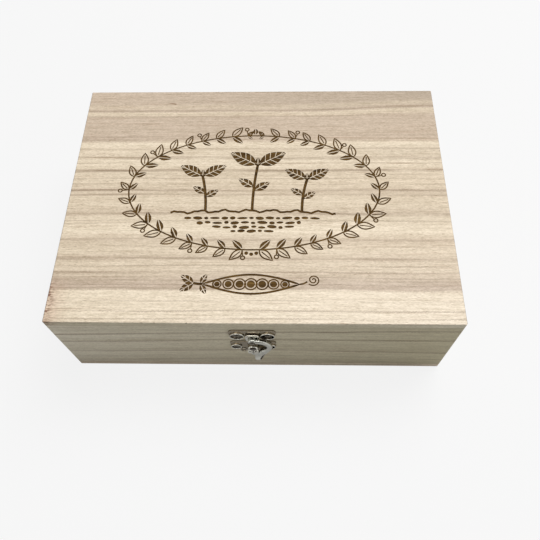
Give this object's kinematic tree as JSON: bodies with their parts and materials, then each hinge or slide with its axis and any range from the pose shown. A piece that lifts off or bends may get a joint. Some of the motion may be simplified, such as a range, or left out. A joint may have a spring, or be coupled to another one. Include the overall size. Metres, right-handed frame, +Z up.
{
  "type": "wooden seed organizer box",
  "caption": "Shallow wooden box for seed packets, with a hinged lid, cross-lapped dividers inside and a swing-hook latch on the front.",
  "frame": {"origin": "centre of the underside, on the surface that the box stands on", "axes": "+X to the right as seen from the latch side, +Y to the hinged back, +Z up"},
  "size_m": [0.27, 0.2071, 0.08],
  "materials": {
    "wood": "sanded, unvarnished pale wood",
    "divider_wood": "sanded, unvarnished pale wood",
    "hinge_metal": "nickel plated, satin",
    "screw_metal": "nickel plated",
    "latch_nickel": "bright nickel plated"
  },
  "bodies": {
    "box": {"base_front_wall": "wood", "base_back_wall": "wood", "base_left_wall": "wood", "base_right_wall": "wood", "base_bottom_panel": "wood", "long_divider": "divider_wood", "cross_divider_left": "divider_wood", "cross_divider_right": "divider_wood", "hinge_left_base_leaf": "hinge_metal", "hinge_right_base_leaf": "hinge_metal", "hinge_left_pin": "hinge_metal", "hinge_right_pin": "hinge_metal", "hinge_base_screws": "screw_metal", "keeper_plate": "latch_nickel", "keeper_plate_screws": "screw_metal"},
    "lid": {"lid_top_panel": "wood", "lid_front_rail": "wood", "lid_back_rail": "wood", "lid_left_rail": "wood", "lid_right_rail": "wood", "hinge_left_lid_leaf": "hinge_metal", "hinge_right_lid_leaf": "hinge_metal", "hinge_lid_screws": "screw_metal", "latch_plate": "latch_nickel", "latch_plate_screws": "screw_metal", "latch_rivet": "screw_metal"},
    "hook": {"latch_hook": "latch_nickel"}
  },
  "joints": [
    {"name": "lid_hinge", "type": "hinge", "parent": "box", "child": "lid", "pos_m": [0, 0.098, 0.052], "axis": [-1, 0, 0], "range_deg": [0, 100]},
    {"name": "hook_swing", "type": "hinge", "parent": "lid", "child": "hook", "pos_m": [-0.0012, -0.104, 0.0588], "axis": [0, -1, 0], "range_deg": [0, 120]}
  ]
}
